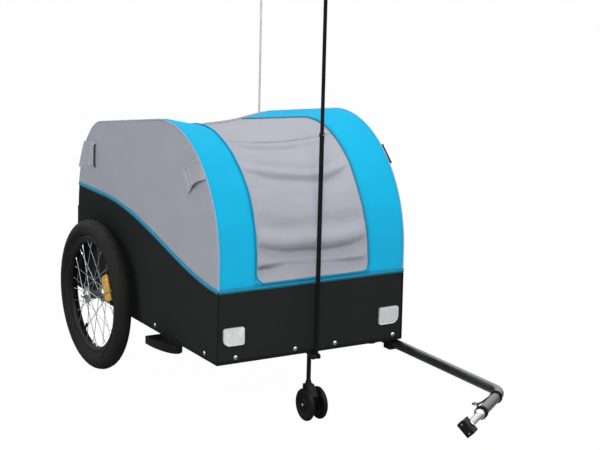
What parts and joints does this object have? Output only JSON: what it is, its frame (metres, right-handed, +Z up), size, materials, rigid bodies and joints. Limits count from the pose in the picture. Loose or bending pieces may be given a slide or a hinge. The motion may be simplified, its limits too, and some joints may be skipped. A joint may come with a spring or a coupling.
{
  "type": "bicycle trailer",
  "caption": "Bicycle trailer with a cloth cabin on a steel frame, spoked wheels, a twin front caster, a pull handle and a bent tow arm.",
  "frame": {"origin": "on the ground, under the middle of the bounding box", "axes": "+Y runs from the tow hitch to the rear, +X to the trailer's left, where the tow arm is, and +Z up"},
  "size_m": [0.677, 1.5645, 1.4],
  "materials": {
    "black_cloth": "coated black weave",
    "grey_cloth": "woven polyester, mid grey",
    "pale_grey_cloth": "woven polyester, pale grey",
    "cyan_cloth": "woven polyester, bright blue",
    "black_paint": "black powder coat",
    "board": "matt black board",
    "zinc": "zinc plated",
    "chrome": "bright plated",
    "black_plastic": "moulded, satin",
    "tyre": "matt rubber",
    "rim_paint": "dark grey, satin",
    "amber_lens": "ribbed reflector lens",
    "white_lens": "ribbed reflector lens",
    "white_rod": "smooth white",
    "orange_cloth": "thin woven"
  },
  "bodies": {
    "chassis": {"axle_nut_left": "chrome", "axle_nut_right": "chrome", "axle_tube": "zinc", "bow_left": "black_paint", "bow_right": "black_paint", "caster_socket": "black_plastic", "cyan_border": "cyan_cloth", "flag_socket": "black_plastic", "floor_board": "board", "floor_slat_front": "black_paint", "floor_slat_middle": "black_paint", "floor_slat_rear": "black_paint", "front_flap": "pale_grey_cloth", "front_rail": "black_paint", "front_reflector_left": "white_lens", "front_reflector_right": "white_lens", "handle_bracket": "black_paint", "rear_cross_bar": "black_paint", "rear_panel": "grey_cloth", "rear_rail": "black_paint", "roof_panel": "pale_grey_cloth", "side_panel_left": "grey_cloth", "side_panel_right": "grey_cloth", "side_pocket": "black_cloth", "side_rail_left": "black_paint", "side_rail_right": "black_paint", "skirt_front": "black_cloth", "skirt_left": "black_cloth", "skirt_rear": "black_cloth", "skirt_right": "black_cloth", "tow_cradle": "zinc", "tow_pivot_bracket": "zinc", "waist_bar": "black_paint", "wheel_axle_left": "zinc", "wheel_axle_right": "zinc", "wheel_guard_left": "black_plastic", "wheel_guard_right": "black_plastic"},
    "wheel_right": {"tyre_right": "tyre", "rim_right": "rim_paint", "hub_and_spokes_right": "zinc", "spoke_reflector_right": "amber_lens"},
    "wheel_left": {"tyre_left": "tyre", "rim_left": "rim_paint", "hub_and_spokes_left": "zinc", "spoke_reflector_left": "amber_lens"},
    "caster": {"caster_fork": "black_plastic"},
    "caster_wheel_right": {"caster_wheel_right": "black_plastic"},
    "caster_wheel_left": {"caster_wheel_left": "black_plastic"},
    "handle_lower": {"handle_lower_tube": "black_paint"},
    "handle_lock": {"handle_collar": "black_plastic"},
    "handle_upper": {"handle_upper_tube": "black_paint", "handle_grip": "black_plastic"},
    "flag_pole": {"flag_rod": "white_rod", "flag": "orange_cloth"},
    "tow_arm": {"tow_tube": "black_paint", "safety_strap": "black_plastic"},
    "tow_knob": {"tow_pivot_knob": "black_plastic"},
    "hitch_swivel": {"hitch_swivel": "zinc"},
    "hitch_block": {"hitch_block": "black_plastic"}
  },
  "joints": [
    {"name": "wheel_right_spin", "type": "hinge", "parent": "chassis", "child": "wheel_right", "pos_m": [-0.3, 0.44882, 0.2], "axis": [1, 0, 0], "continuous": true},
    {"name": "wheel_left_spin", "type": "hinge", "parent": "chassis", "child": "wheel_left", "pos_m": [0.3, 0.44882, 0.2], "axis": [1, 0, 0], "continuous": true},
    {"name": "caster_swivel", "type": "hinge", "parent": "chassis", "child": "caster", "pos_m": [0, -0.16388, 0.15], "axis": [0, 0, 1], "continuous": true},
    {"name": "caster_wheel_right_roll", "type": "hinge", "parent": "caster", "child": "caster_wheel_right", "pos_m": [0, -0.18188, 0.0405], "axis": [1, 0, 0], "continuous": true},
    {"name": "caster_wheel_left_roll", "type": "hinge", "parent": "caster", "child": "caster_wheel_left", "pos_m": [0, -0.18188, 0.0405], "axis": [1, 0, 0], "continuous": true},
    {"name": "handle_tilt", "type": "hinge", "parent": "chassis", "child": "handle_lower", "pos_m": [0, -0.19618, 0.1645], "axis": [1, 0, 0], "range_deg": [0, 75]},
    {"name": "handle_telescope", "type": "slide", "parent": "handle_lower", "child": "handle_upper", "axis": [0, 0, -1], "range_m": [0, 0.35]},
    {"name": "handle_lock_twist", "type": "hinge", "parent": "handle_lower", "child": "handle_lock", "pos_m": [0, -0.19618, 0.704], "axis": [0, 0, 1], "range_deg": [0, 90]},
    {"name": "flag_rod_lift", "type": "slide", "parent": "chassis", "child": "flag_pole", "axis": [0, 0, 1], "range_m": [0, 0.1]},
    {"name": "tow_swing", "type": "hinge", "parent": "chassis", "child": "tow_arm", "pos_m": [0.255, -0.04618, 0.1552], "axis": [0, 0, 1], "range_deg": [0, 85]},
    {"name": "tow_knob_turn", "type": "hinge", "parent": "chassis", "child": "tow_knob", "pos_m": [0.255, -0.04618, 0.13], "axis": [0, 0, 1], "continuous": true},
    {"name": "hitch_roll", "type": "hinge", "parent": "tow_arm", "child": "hitch_swivel", "pos_m": [0.12061, -0.69832, 0.1552], "axis": [-0.7976, -0.6032, 0], "range_deg": [-45, 45]},
    {"name": "hitch_turn", "type": "hinge", "parent": "hitch_swivel", "child": "hitch_block", "pos_m": [0.04563, -0.75502, 0.1552], "axis": [0.4265, -0.564, 0.7071], "range_deg": [-25, 25]}
  ]
}
